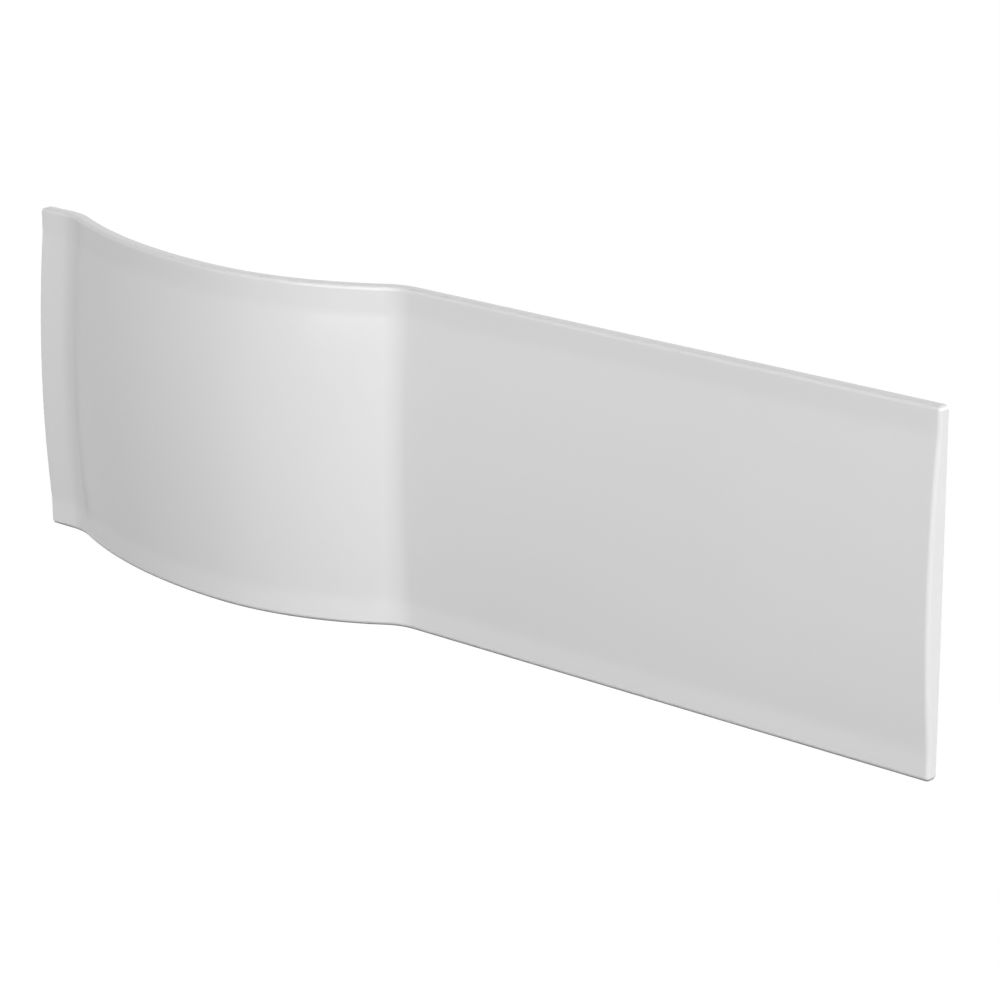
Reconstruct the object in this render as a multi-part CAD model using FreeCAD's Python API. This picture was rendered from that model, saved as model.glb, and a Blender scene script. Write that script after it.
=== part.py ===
import FreeCAD, Part
import math
import os

# Front panel of a shower bath whose one end is bowed: a single acrylic sheet, formed hot over a mould.
# Seen from above, the face is a straight line with a bow near its left end, tighter on its right side.
# Seen from the end, the face is crowned between two flat margins, and all four edges turn back.
# Frame: X runs along the length, the face looks along -Y, Z is up, and the origin is under the middle.

# Driving dimensions in millimetres
LENGTH = 1700.0          # end to end
HEIGHT = 510.0           # floor to the underside of the bath rim
SHEET = 4.0              # thickness of the acrylic
RETURN_DEPTH = 18.0      # from the flat margins of the face back to the trimmed edge
MOULD_RADIUS = 2.0       # inside radius where the sheet turns from one side to the next
MARGIN = 40.0            # flat band along the top and bottom of the face, to the corner of the crown
CROWN_RISE = 12.0        # how far the middle of the height stands out from the margins
CROWN_BLEND = 120.0      # hollow radius between a margin and the crown
FLANGE = 75.0            # straight length left of the bow, to the corner of the bow
BOW_RISE = 96.0          # how far the crest of the bow stands out from the straight line
LEFT_RUN = 400.0         # from the left corner of the bow to its crest, along the straight line
RIGHT_RUN = 282.0        # from the crest of the bow to its right corner
LEFT_BLEND = 110.0       # hollow radius between the flange and the bow
RIGHT_BLEND = 75.0       # hollow radius between the bow and the straight


class RaisedHalf:
    """Half of a round rise out of a straight line, from its hollow blend up to its crest."""

    def __init__(self, run, rise, blend):
        self.blend = blend
        self.radius = (run ** 2 + rise ** 2) / (2 * rise)
        self.centre_depth = self.radius - rise
        between_centres = self.radius + blend
        self.turn = math.acos((self.centre_depth + blend) / between_centres)
        self.reach = between_centres * math.sin(self.turn)


CROWN = RaisedHalf(HEIGHT / 2 - MARGIN, CROWN_RISE, CROWN_BLEND)
BOW_LEFT = RaisedHalf(LEFT_RUN, BOW_RISE, LEFT_BLEND)
BOW_RIGHT = RaisedHalf(RIGHT_RUN, BOW_RISE, RIGHT_BLEND)

# Places that follow from the sizes
LEFT = -LENGTH / 2
RIGHT = LENGTH / 2
CREST_X = LEFT + FLANGE + LEFT_RUN
MARGIN_Y = (BOW_RISE + CROWN_RISE - RETURN_DEPTH) / 2
MIDDLE_Z = HEIGHT / 2

ALONG = FreeCAD.Vector(1, 0, 0)
BACK = FreeCAD.Vector(0, 1, 0)
UP = FreeCAD.Vector(0, 0, 1)
QUARTER_TURN = math.pi / 2
TOUCH = 1e-4


def arc(centre, radius, start, end, across, upward):
    """A round edge from the start angle to the end angle, in the plane of the two directions."""

    def stop(angle):
        return centre + across * (radius * math.cos(angle)) + upward * (radius * math.sin(angle))

    return Part.Arc(stop(start), stop((start + end) / 2), stop(end)).toShape()


def plan_line(inset):
    """The margin of the face seen from above, left to right, stopping short of both ends by inset."""

    def place(x, behind=0.0):
        return FreeCAD.Vector(x, MARGIN_Y + behind, 0)

    def round_run(centre, radius, start, end):
        return arc(centre, radius, start, end, ALONG, BACK)

    foot_left = place(CREST_X - BOW_LEFT.reach)
    foot_right = place(CREST_X + BOW_RIGHT.reach)
    blend_left = foot_left - BACK * BOW_LEFT.blend
    blend_right = foot_right - BACK * BOW_RIGHT.blend
    centre_left = place(CREST_X, BOW_LEFT.centre_depth)
    centre_right = place(CREST_X, BOW_RIGHT.centre_depth)
    front = -QUARTER_TURN
    return [
        Part.makeLine(place(LEFT + inset), foot_left),
        round_run(blend_left, BOW_LEFT.blend, QUARTER_TURN, QUARTER_TURN - BOW_LEFT.turn),
        round_run(centre_left, BOW_LEFT.radius, front - BOW_LEFT.turn, front),
        round_run(centre_right, BOW_RIGHT.radius, front, front + BOW_RIGHT.turn),
        round_run(blend_right, BOW_RIGHT.blend, QUARTER_TURN + BOW_RIGHT.turn, QUARTER_TURN),
        Part.makeLine(foot_right, place(RIGHT - inset)),
    ]


def section(inset, depth):
    """The upright section across the plan line: the face moved in by inset, closed at depth behind it."""
    out = -BACK

    def point(distance_out, z):
        return out * distance_out + UP * z

    low = inset
    high = HEIGHT - inset
    crown_low = MIDDLE_Z - CROWN.reach
    crown_high = MIDDLE_Z + CROWN.reach
    crown_centre = point(-CROWN.centre_depth, MIDDLE_Z)
    blend_radius = CROWN.blend + inset
    outline = [
        Part.makeLine(point(-depth, low), point(-inset, low)),
        Part.makeLine(point(-inset, low), point(-inset, crown_low)),
        arc(point(CROWN.blend, crown_low), blend_radius, math.pi, math.pi - CROWN.turn, out, UP),
        arc(crown_centre, CROWN.radius - inset, -CROWN.turn, CROWN.turn, out, UP),
        arc(point(CROWN.blend, crown_high), blend_radius, math.pi + CROWN.turn, math.pi, out, UP),
        Part.makeLine(point(-inset, crown_high), point(-inset, high)),
        Part.makeLine(point(-inset, high), point(-depth, high)),
        Part.makeLine(point(-depth, high), point(-depth, low)),
    ]
    return Part.Face(Part.Wire(outline))


def carried(face, edge):
    """The solid that a section makes when it is carried along one straight or round edge of the plan."""
    start = edge.valueAt(edge.FirstParameter)
    end = edge.valueAt(edge.LastParameter)
    heading = edge.tangentAt(edge.FirstParameter)
    last_heading = edge.tangentAt(edge.LastParameter)
    placed = face.copy()
    placed.Placement = FreeCAD.Placement(start, FreeCAD.Rotation(ALONG, heading))
    if isinstance(edge.Curve, Part.Line):
        return placed.extrude(end - start)
    turn = math.atan2(heading.cross(last_heading).z, heading.dot(last_heading))
    return placed.revolve(edge.Curve.Center, UP, math.degrees(turn))


def formed_block(inset, depth, radius):
    """The full body behind the face, moved in by inset, with every side but the back rounded."""
    line = plan_line(inset)
    face = section(inset, depth)
    runs = [carried(face, edge) for edge in line]
    block = runs[0].multiFuse(runs[1:]).removeSplitter()
    path = Part.Wire(line)
    ends = (LEFT + inset, RIGHT - inset)
    levels = (inset, HEIGHT - inset)

    def lies_at(low, high, places):
        return high - low < TOUCH and min(abs(low - place) for place in places) < TOUCH

    def is_corner(edge):
        box = edge.BoundBox
        middle = edge.valueAt((edge.FirstParameter + edge.LastParameter) / 2)
        if lies_at(box.XMin, box.XMax, ends):
            return middle.y < MARGIN_Y + depth - TOUCH
        above_line = Part.Vertex(middle.x, middle.y, 0)
        return lies_at(box.ZMin, box.ZMax, levels) and above_line.distToShape(path)[0] < depth - TOUCH

    return block.makeFillet(radius, [edge for edge in block.Edges if is_corner(edge)])


def bath_panel():
    """The formed sheet: the outside block less the mould that it was drawn over, open at the back."""
    outside = formed_block(0.0, RETURN_DEPTH, MOULD_RADIUS + SHEET)
    mould = formed_block(SHEET, RETURN_DEPTH + SHEET, MOULD_RADIUS)
    return outside.cut(mould)


os.makedirs("parts", exist_ok=True)
bath_panel().exportStep("parts/bath_panel.step")
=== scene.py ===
import math

import bpy
import numpy as np
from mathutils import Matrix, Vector


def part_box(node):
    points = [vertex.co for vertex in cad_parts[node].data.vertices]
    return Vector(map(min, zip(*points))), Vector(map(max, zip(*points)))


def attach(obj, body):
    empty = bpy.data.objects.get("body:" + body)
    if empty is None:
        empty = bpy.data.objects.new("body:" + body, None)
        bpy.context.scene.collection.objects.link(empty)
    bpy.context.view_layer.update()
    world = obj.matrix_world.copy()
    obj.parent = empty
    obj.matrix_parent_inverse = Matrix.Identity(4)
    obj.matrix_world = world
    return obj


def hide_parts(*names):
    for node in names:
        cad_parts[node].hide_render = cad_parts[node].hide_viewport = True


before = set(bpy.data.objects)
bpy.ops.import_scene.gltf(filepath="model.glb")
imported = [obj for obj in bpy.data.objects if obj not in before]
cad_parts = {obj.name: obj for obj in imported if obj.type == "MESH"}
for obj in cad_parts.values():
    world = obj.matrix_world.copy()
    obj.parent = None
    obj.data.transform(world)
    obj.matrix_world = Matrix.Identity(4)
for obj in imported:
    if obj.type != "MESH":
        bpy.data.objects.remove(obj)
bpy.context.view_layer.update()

# The formed sheet
# The panel is one sheet of white acrylic, softened by heat and drawn over a mould, so it has one thickness.
# The face bows out near its left end and is crowned from top to bottom between two flat margins.
# All four edges turn back round the mould, are trimmed and scraped, and the lower one stands on the floor.

# Sizes of the sheet in metres
SHEET = 0.004
RETURN_DEPTH = 0.018
OUTSIDE_RADIUS = 0.006
MARGIN = 0.040
CROWN_RISE = 0.012
CROWN_BLEND = 0.120
FLANGE = 0.075
BOW_RISE = 0.096
LEFT_RUN = 0.400
RIGHT_RUN = 0.282
LEFT_BLEND = 0.110
RIGHT_BLEND = 0.075
SCRAPED_ARRIS = 0.0005

# How finely the mesh follows the sheet: spacing in metres, and steps across the edges
STEP_ON_FLAT = 0.016
STEP_ON_ARC = 0.008
STEP_ON_BLEND = 0.004
STEPS_ROUND_EDGE = 10
STEPS_DOWN_RETURN = 3

# Finishes: whites and roughness from least to most, waves and grain as size and depth in metres
FINISHES = {
    "polished_face": dict(
        whites=(0.775, 0.790),
        roughness=(0.14, 0.20),
        waves=(0.11, 1.2e-4),
        grain=(0.004, 4e-6),
    ),
    "mould_side": dict(
        whites=(0.755, 0.785),
        roughness=(0.38, 0.50),
        waves=(0.09, 2.0e-4),
        grain=(0.0025, 4e-5),
    ),
    "scraped_trim": dict(
        whites=(0.740, 0.780),
        roughness=(0.45, 0.60),
        waves=(0.02, 5.0e-5),
        grain=(0.0008, 3e-5),
    ),
}
ACRYLIC_IOR = 1.49

# How the white and the gloss drift: size of a patch in metres, and the noise with its least and most
TINT_DRIFT = 0.35
GLOSS_DRIFT = 0.12
DRIFT_DETAIL = 3.0
DRIFT_LOW = 0.3
DRIFT_HIGH = 0.7

ALONG = np.array([1.0, 0.0, 0.0])
UP = np.array([0.0, 0.0, 1.0])
QUARTER_TURN = math.pi / 2

sheet_low, sheet_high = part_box("bath_panel")
height = sheet_high.z - sheet_low.z
middle_z = (sheet_low.z + sheet_high.z) / 2
margin_y = sheet_high.y - RETURN_DEPTH
crest_x = sheet_low.x + FLANGE + LEFT_RUN


def half_of_rise(run, rise, blend, far_end):
    """Half a line with a round rise, from its crest outwards: distance, height and lean at each station."""
    radius = (run ** 2 + rise ** 2) / (2 * rise)
    centre_depth = radius - rise
    turn = math.acos((centre_depth + blend) / (radius + blend))
    reach = (radius + blend) * math.sin(turn)

    def stations(start, end, span, step):
        return np.linspace(start, end, math.ceil(span / step) + 1)

    on_arc = stations(0.0, turn, radius * turn, STEP_ON_ARC)
    on_blend = stations(turn, 0.0, blend * turn, STEP_ON_BLEND)[1:]
    on_flat = stations(reach, far_end, far_end - reach, STEP_ON_FLAT)[1:]
    arc_height = radius * np.cos(on_arc) - centre_depth
    blend_height = blend * (1 - np.cos(on_blend))
    level = np.zeros(len(on_flat))
    distance = np.concatenate([radius * np.sin(on_arc), reach - blend * np.sin(on_blend), on_flat])
    rise_here = np.concatenate([arc_height, blend_height, level])
    lean = np.concatenate([on_arc, on_blend, level])
    return distance, rise_here, lean


def line_with_rise(crest, lower_half, upper_half):
    """Both halves as one line that runs upwards through the crest: place, height and lean."""
    distance, rise_here, lean = lower_half
    next_distance, next_rise, next_lean = (values[1:] for values in upper_half)
    place = np.concatenate([crest - distance[::-1], crest + next_distance])
    whole_rise = np.concatenate([rise_here[::-1], next_rise])
    whole_lean = np.concatenate([-lean[::-1], next_lean])
    return place, whole_rise, whole_lean


left_half = half_of_rise(LEFT_RUN, BOW_RISE, LEFT_BLEND, crest_x - sheet_low.x - OUTSIDE_RADIUS)
right_half = half_of_rise(RIGHT_RUN, BOW_RISE, RIGHT_BLEND, sheet_high.x - OUTSIDE_RADIUS - crest_x)
crown_half = half_of_rise(height / 2 - MARGIN, CROWN_RISE, CROWN_BLEND, height / 2 - OUTSIDE_RADIUS)
plan_x, plan_bow, plan_lean = line_with_rise(crest_x, left_half, right_half)
level_z, level_crown, level_lean = line_with_rise(middle_z, crown_half, crown_half)

plan_line = np.stack([plan_x, margin_y - plan_bow, np.zeros(len(plan_x))], axis=1)
plan_out = np.stack([np.sin(plan_lean), -np.cos(plan_lean), np.zeros(len(plan_x))], axis=1)
face = plan_line[:, None] + level_crown[:, None] * plan_out[:, None] + level_z[:, None] * UP
face_out = np.cos(level_lean)[:, None] * plan_out[:, None] + np.sin(level_lean)[:, None] * UP


def walk_round_face(last_column, last_row):
    """The border of the face, anticlockwise from its lower left: column, row and the way to the side."""
    walk = []

    def corner(column, row, side, next_side):
        for angle in np.linspace(0.0, QUARTER_TURN, STEPS_ROUND_EDGE + 1)[1:-1]:
            walk.append((column, row, math.cos(angle) * side + math.sin(angle) * next_side))

    walk += [(column, 0, -UP) for column in range(last_column + 1)]
    corner(last_column, 0, -UP, ALONG)
    walk += [(last_column, row, ALONG) for row in range(last_row + 1)]
    corner(last_column, last_row, ALONG, UP)
    walk += [(column, last_row, UP) for column in range(last_column, -1, -1)]
    corner(0, last_row, UP, -ALONG)
    walk += [(0, row, -ALONG) for row in range(last_row, -1, -1)]
    corner(0, 0, -ALONG, -UP)
    return walk


def turned_edges(columns, rows, side):
    """Rings of points round the outside of the edges, from the face to the trim: places and normals."""
    start = face[columns, rows]
    out = face_out[columns, rows]
    behind = -plan_out[columns]
    rings = []
    for angle in np.linspace(0.0, QUARTER_TURN, STEPS_ROUND_EDGE + 1)[1:]:
        normal = math.cos(angle) * out + math.sin(angle) * side
        rings.append((start - OUTSIDE_RADIUS * out + OUTSIDE_RADIUS * normal, normal))
    turned = rings[-1][0]
    depth_turned = OUTSIDE_RADIUS * np.cos(level_lean[rows]) - level_crown[rows]
    depth_left = (RETURN_DEPTH - SCRAPED_ARRIS - depth_turned)[:, None]
    for share in np.linspace(0.0, 1.0, STEPS_DOWN_RETURN + 1)[1:]:
        rings.append((turned + share * depth_left * behind, side))
    return rings, behind


def sheet_mesh(name):
    """The whole skin of the sheet, outside, trim and inside, as one closed mesh with its true normals."""
    column_count, row_count = face.shape[:2]
    walk = walk_round_face(column_count - 1, row_count - 1)
    columns = np.array([step[0] for step in walk])
    rows = np.array([step[1] for step in walk])
    side = np.array([step[2] for step in walk])
    outside, behind = turned_edges(columns, rows, side)
    arris = outside[-1][0]
    trim_outer = arris + SCRAPED_ARRIS * (behind - side)
    trim_inner = arris - SHEET * side + SCRAPED_ARRIS * (behind + side)
    trim = [(trim_outer, behind), (trim_inner, behind)]
    inside = [(place - SHEET * normal, -normal) for place, normal in reversed(outside)]
    rings = outside + trim + inside

    flat_face = face.reshape(-1, 3)
    flat_out = face_out.reshape(-1, 3)
    places = np.concatenate([flat_face] + [ring[0] for ring in rings] + [flat_face - SHEET * flat_out])
    normals = np.concatenate([flat_out] + [ring[1] for ring in rings] + [-flat_out])

    number = np.arange(column_count * row_count).reshape(column_count, row_count)
    inner_start = len(places) - len(flat_face)
    border = number[columns, rows]
    ring_numbers = [len(flat_face) + len(walk) * ring + np.arange(len(walk)) for ring in range(len(rings))]
    threads = np.stack([border] + ring_numbers + [border + inner_start])

    polygons = []
    finishes = []

    def add(corners, finish):
        polygons.append(list(dict.fromkeys(int(corner) for corner in corners)))
        finishes.append(finish)

    for column in range(column_count - 1):
        for row in range(row_count - 1):
            near_side = [number[column, row], number[column + 1, row]]
            far_side = [number[column + 1, row + 1], number[column, row + 1]]
            patch = near_side + far_side
            add(patch, "polished_face")
            add([corner + inner_start for corner in reversed(patch)], "mould_side")
    bands = ["polished_face"] * len(outside)
    bands += ["scraped_trim"] * (len(trim) + 1)
    bands += ["mould_side"] * len(inside)
    for finish, near, far in zip(bands, threads[:-1], threads[1:]):
        for here in range(len(walk)):
            after = (here + 1) % len(walk)
            add([near[here], far[here], far[after], near[after]], finish)

    mesh = bpy.data.meshes.new(name)
    mesh.from_pydata(places.tolist(), [], polygons)
    order = list(FINISHES)
    mesh.polygons.foreach_set("material_index", [order.index(finish) for finish in finishes])
    mesh.polygons.foreach_set("use_smooth", [True] * len(polygons))
    mesh.normals_split_custom_set_from_vertices(normals.tolist())
    mesh.update()
    return mesh


def acrylic(name, whites, roughness, waves, grain):
    """White acrylic: two close whites that drift over it, an uneven gloss, broad waves and a fine grain."""
    material = bpy.data.materials.new(name)
    material.use_nodes = True
    nodes = material.node_tree.nodes
    link = material.node_tree.links.new
    shader = nodes["Principled BSDF"]
    shader.inputs["IOR"].default_value = ACRYLIC_IOR
    place = nodes.new("ShaderNodeTexCoord").outputs["Object"]

    def drift(size):
        noise = nodes.new("ShaderNodeTexNoise")
        noise.inputs["Scale"].default_value = 1 / size
        noise.inputs["Detail"].default_value = DRIFT_DETAIL
        link(place, noise.inputs["Vector"])
        return noise.outputs["Fac"]

    tint = nodes.new("ShaderNodeValToRGB")
    tint.color_ramp.elements[0].position = DRIFT_LOW
    tint.color_ramp.elements[1].position = DRIFT_HIGH
    for stop, white in zip(tint.color_ramp.elements, whites):
        stop.color = (white, white, white, 1.0)
    link(drift(TINT_DRIFT), tint.inputs["Fac"])
    link(tint.outputs["Color"], shader.inputs["Base Color"])

    gloss = nodes.new("ShaderNodeMapRange")
    gloss.inputs["From Min"].default_value = DRIFT_LOW
    gloss.inputs["From Max"].default_value = DRIFT_HIGH
    gloss.inputs["To Min"].default_value, gloss.inputs["To Max"].default_value = roughness
    link(drift(GLOSS_DRIFT), gloss.inputs["Value"])
    link(gloss.outputs["Result"], shader.inputs["Roughness"])

    normal = None
    for size, depth in (waves, grain):
        bump = nodes.new("ShaderNodeBump")
        bump.inputs["Distance"].default_value = depth
        link(drift(size), bump.inputs["Height"])
        if normal:
            link(normal, bump.inputs["Normal"])
        normal = bump.outputs["Normal"]
    link(normal, shader.inputs["Normal"])
    return material


panel = bpy.data.objects.new("formed_sheet", sheet_mesh("formed_sheet"))
bpy.context.scene.collection.objects.link(panel)
for finish_name, finish in FINISHES.items():
    panel.data.materials.append(acrylic(finish_name, **finish))
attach(panel, "root")
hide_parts("bath_panel")

# The floor
# A plain pale floor that the panel stands on. It shows white to the camera and in reflections.
# The panel's soft shadow stays on it. A dark line of painted shade lies in the crevice under the rounded
# lower edge, where an occlusion node darkens the floor's glow.
# It throws no light back at the panel.

# Reach of the floor and of the crevice's painted shade in metres, and the floor's paint and glow
FLOOR_REACH = 15.0
FLOOR_GREY = 0.14
FLOOR_GLOW = 0.92
PAINTED_SHADE_REACH = 0.0015
CONTACT_RAYS = 4

floor_mesh = bpy.data.meshes.new("floor")
floor_corners = [(-1, -1), (1, -1), (1, 1), (-1, 1)]
floor_places = [(x * FLOOR_REACH, y * FLOOR_REACH, 0.0) for x, y in floor_corners]
floor_mesh.from_pydata(floor_places, [], [list(range(len(floor_places)))])
floor = bpy.data.objects.new("floor", floor_mesh)
bpy.context.scene.collection.objects.link(floor)


def seen_directly(tree, strength):
    """A node value: the strength for rays that see a surface, straight or mirrored, and else nothing."""
    rays = tree.nodes.new("ShaderNodeLightPath")
    total = rays.outputs["Is Camera Ray"]
    for kind in ("Is Glossy Ray", "Is Transmission Ray"):
        either = tree.nodes.new("ShaderNodeMath")
        either.operation = "MAXIMUM"
        tree.links.new(total, either.inputs[0])
        tree.links.new(rays.outputs[kind], either.inputs[1])
        total = either.outputs["Value"]
    scaled = tree.nodes.new("ShaderNodeMath")
    scaled.operation = "MULTIPLY"
    scaled.inputs[1].default_value = strength
    tree.links.new(total, scaled.inputs[0])
    return scaled.outputs["Value"]


floor_paint = bpy.data.materials.new("pale_floor")
floor_paint.use_nodes = True
floor_tree = floor_paint.node_tree
floor_tree.nodes.remove(floor_tree.nodes["Principled BSDF"])
glow = floor_tree.nodes.new("ShaderNodeEmission")
matt = floor_tree.nodes.new("ShaderNodeBsdfDiffuse")
both = floor_tree.nodes.new("ShaderNodeAddShader")
# Painted shade: occlusion darkens the floor's glow in the crevice under the lower edge, like a contact
# shadow
painted_crevice_shade = floor_tree.nodes.new("ShaderNodeAmbientOcclusion")
painted_crevice_shade.inputs["Distance"].default_value = PAINTED_SHADE_REACH
painted_crevice_shade.samples = CONTACT_RAYS
floor_tree.links.new(painted_crevice_shade.outputs["Color"], glow.inputs["Color"])
floor_tree.links.new(seen_directly(floor_tree, FLOOR_GLOW), glow.inputs["Strength"])
floor_tree.links.new(seen_directly(floor_tree, FLOOR_GREY), matt.inputs["Color"])
floor_tree.links.new(glow.outputs["Emission"], both.inputs[0])
floor_tree.links.new(matt.outputs["BSDF"], both.inputs[1])
floor_tree.links.new(both.outputs["Shader"], floor_tree.nodes["Material Output"].inputs["Surface"])
floor_mesh.materials.append(floor_paint)

# The room light
# Soft light from all round, white where it is seen or mirrored, dimmer as a light.
# Five broad round lamps stand well away: in front, at the right, past the right end, behind, and behind the
# left end. The last one is kept out of the gloss, where the flat top would mirror it into the camera.

# Strength of the room, as a light and where it is seen
ROOM_LIGHT = 0.06
ROOM_WHITE = 1.0
ROOM_COLOUR = (1.0, 1.0, 1.0, 1.0)

# Lamps: distance in metres, half width and places in degrees, strength in watts per square metre
LAMP_DISTANCE = 20.0
LAMP_SPREAD = 25
LAMPS = {
    "front_lamp": dict(azimuth=15, elevation=20, strength=1.89, mirrored=True),
    "right_lamp": dict(azimuth=60, elevation=20, strength=1.44, mirrored=True),
    "end_lamp": dict(azimuth=120, elevation=5, strength=2.19, mirrored=True),
    "back_lamp": dict(azimuth=165, elevation=10, strength=1.31, mirrored=True),
    "left_lamp": dict(azimuth=240, elevation=10, strength=1.41, mirrored=False),
}

room = bpy.data.worlds.new("white_room")
room.use_nodes = True
room_tree = room.node_tree
background = room_tree.nodes["Background"]
lifted = room_tree.nodes.new("ShaderNodeMath")
lifted.operation = "ADD"
lifted.inputs[1].default_value = ROOM_LIGHT
room_tree.links.new(seen_directly(room_tree, ROOM_WHITE - ROOM_LIGHT), lifted.inputs[0])
room_tree.links.new(lifted.outputs["Value"], background.inputs["Strength"])
background.inputs["Color"].default_value = ROOM_COLOUR
bpy.context.scene.world = room


def way_from_panel(azimuth, elevation):
    """The direction from the panel to a place round it, in degrees from the front to the right and up."""
    turn = math.radians(azimuth)
    rise = math.radians(elevation)
    across = math.sin(turn) * math.cos(rise)
    forward = -math.cos(turn) * math.cos(rise)
    return Vector((across, forward, math.sin(rise)))


lamp_radius = LAMP_DISTANCE * math.tan(math.radians(LAMP_SPREAD))
watts_for_strength = math.pi * (LAMP_DISTANCE ** 2 + lamp_radius ** 2)
for name, setting in LAMPS.items():
    lamp = bpy.data.lights.new(name, "AREA")
    lamp.shape = "DISK"
    lamp.size = 2 * lamp_radius
    lamp.energy = setting["strength"] * watts_for_strength
    stand = bpy.data.objects.new(name, lamp)
    stand.rotation_mode = "QUATERNION"
    to_lamp = way_from_panel(setting["azimuth"], setting["elevation"])
    stand.location = to_lamp * LAMP_DISTANCE
    stand.rotation_quaternion = to_lamp.to_track_quat("Z", "Y")
    stand.visible_glossy = setting["mirrored"]
    bpy.context.scene.collection.objects.link(stand)

# The camera
# It looks at the bowed front from the right and a little above, with a long lens from across a room.
# It is fitted to the photo's top and bottom edges and its two ends, with no lens shift.

# Angles in degrees, distance and aim in metres, lens and sensor in millimetres
CAMERA_AZIMUTH = 41.62
CAMERA_ELEVATION = 17.27
CAMERA_DISTANCE = 5.464
CAMERA_LENS = 139.28
CAMERA_SENSOR = 36.0
AIM_ALONG = 0.1016
AIM_HEIGHT = 0.2328

camera = bpy.data.objects.new("camera", bpy.data.cameras.new("camera"))
camera.data.lens = CAMERA_LENS
camera.data.sensor_width = CAMERA_SENSOR
aim = Vector((AIM_ALONG, margin_y, AIM_HEIGHT))
towards_camera = way_from_panel(CAMERA_AZIMUTH, CAMERA_ELEVATION)
camera.location = aim + towards_camera * CAMERA_DISTANCE
camera.rotation_mode = "QUATERNION"
camera.rotation_quaternion = towards_camera.to_track_quat("Z", "Y")
bpy.context.scene.collection.objects.link(camera)
bpy.context.scene.camera = camera
bpy.context.scene.view_settings.view_transform = "Standard"
